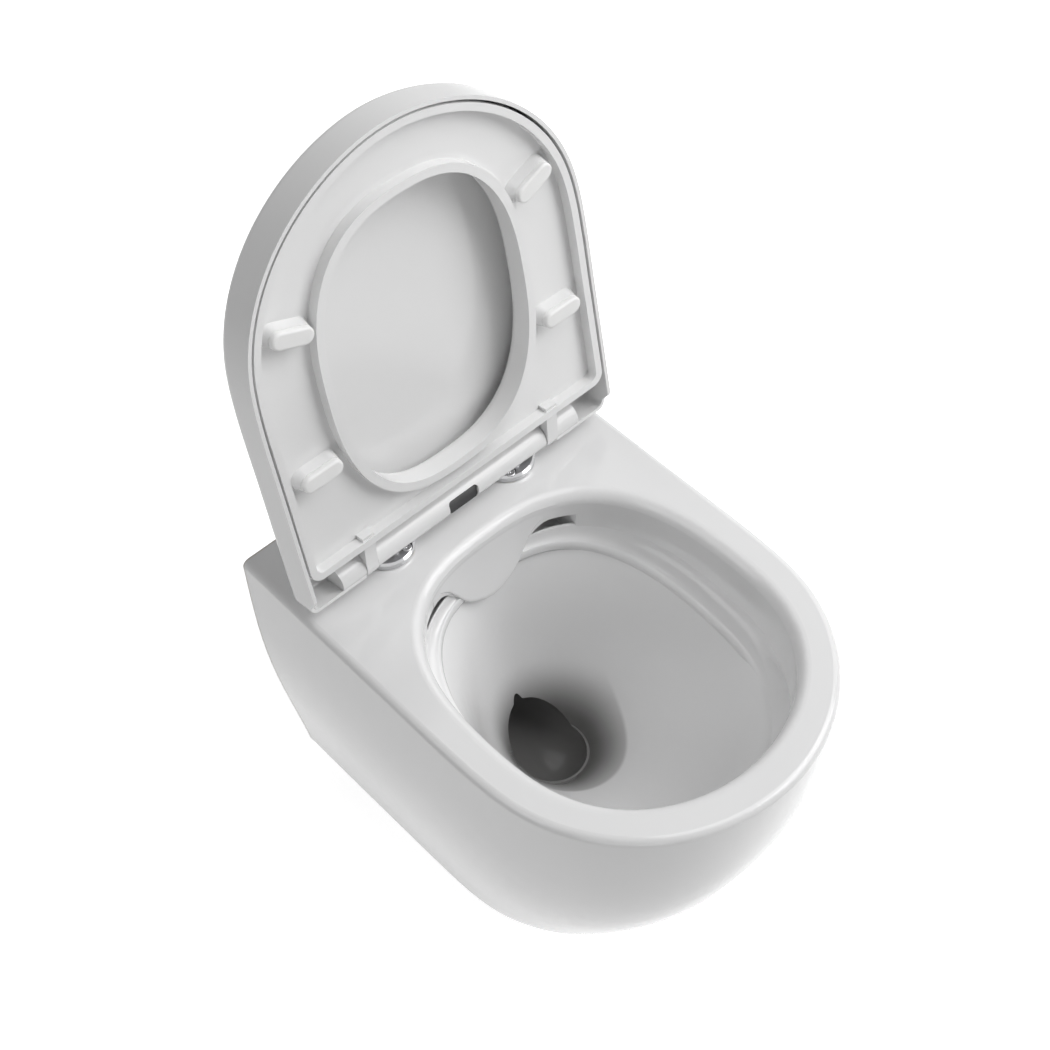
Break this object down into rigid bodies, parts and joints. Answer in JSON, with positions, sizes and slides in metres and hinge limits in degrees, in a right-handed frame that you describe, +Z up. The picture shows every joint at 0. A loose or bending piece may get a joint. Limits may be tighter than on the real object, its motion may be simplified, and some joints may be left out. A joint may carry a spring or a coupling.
{
  "type": "wall-hung toilet",
  "caption": "Wall-hung rimless toilet pan with a flush deflector, a D-shaped soft-close seat and a wrap-over cover on a quick-release hinge bar, shown with both raised.",
  "frame": {"origin": "middle of the two wall-fixing holes on the back face, which lies on the wall", "axes": "+Z up, -Y out of the wall towards the user, +X to the right as seen from the front"},
  "size_m": [0.3656, 0.5087, 0.7775],
  "materials": {
    "glazed_ceramic": "gloss glaze",
    "white_plastic": "gloss moulded thermoset",
    "soft_plastic": "satin white elastomer",
    "dark_plastic": "satin dark grey",
    "grey_plastic": "matte grey",
    "nylon": "matte natural nylon",
    "rubber": "matte",
    "chrome": "polished rim, satin top",
    "bright_steel": "bright",
    "spring_steel": "bright wire",
    "brass": "plain"
  },
  "bodies": {
    "pan": {"ceramic_pan": "glazed_ceramic", "wall_fixing_sleeves": "nylon", "disc_gaskets": "rubber", "hinge_disc_left": "chrome", "hinge_disc_right": "chrome", "seat_fixing_screws": "bright_steel", "expansion_bushes": "nylon", "bush_nuts": "brass", "hinge_post_left": "bright_steel", "hinge_post_right": "bright_steel", "hinge_bar": "white_plastic", "button_springs": "spring_steel", "seat_damper": "grey_plastic", "cover_damper": "grey_plastic"},
    "seat": {"seat_ring": "white_plastic", "seat_bumpers": "soft_plastic", "seat_damper_spindle": "bright_steel"},
    "cover": {"cover": "white_plastic", "cover_buffers": "soft_plastic", "cover_damper_spindle": "bright_steel"},
    "button": {"release_button": "dark_plastic"},
    "latch_left": {"latch_left": "bright_steel"},
    "latch_right": {"latch_right": "bright_steel"}
  },
  "joints": [
    {"name": "cover_hinge", "type": "hinge", "parent": "pan", "child": "cover", "pos_m": [0, -0.088, 0.106], "axis": [1, 0, 0], "range_deg": [0, 101.8]},
    {"name": "seat_hinge", "type": "hinge", "parent": "pan", "child": "seat", "pos_m": [0, -0.088, 0.106], "axis": [1, 0, 0], "range_deg": [0, 101.8]},
    {"name": "release_button", "type": "slide", "parent": "pan", "child": "button", "axis": [0, 0.9914, -0.1305], "range_m": [0, 0.0035], "stiffness_N_per_m": 1500, "springref_m": -0.003, "deforming": ["button_springs"]},
    {"name": "latch_left_slide", "type": "slide", "parent": "pan", "child": "latch_left", "axis": [1, 0, 0], "range_m": [0, 0.0035]},
    {"name": "latch_right_slide", "type": "slide", "parent": "pan", "child": "latch_right", "axis": [-1, 0, 0], "range_m": [0, 0.0035]}
  ],
  "couplings": [
    {"joint": "seat_hinge", "follows": "cover_hinge", "ratio": 1},
    {"joint": "latch_left_slide", "follows": "release_button", "ratio": 1},
    {"joint": "latch_right_slide", "follows": "release_button", "ratio": 1}
  ]
}
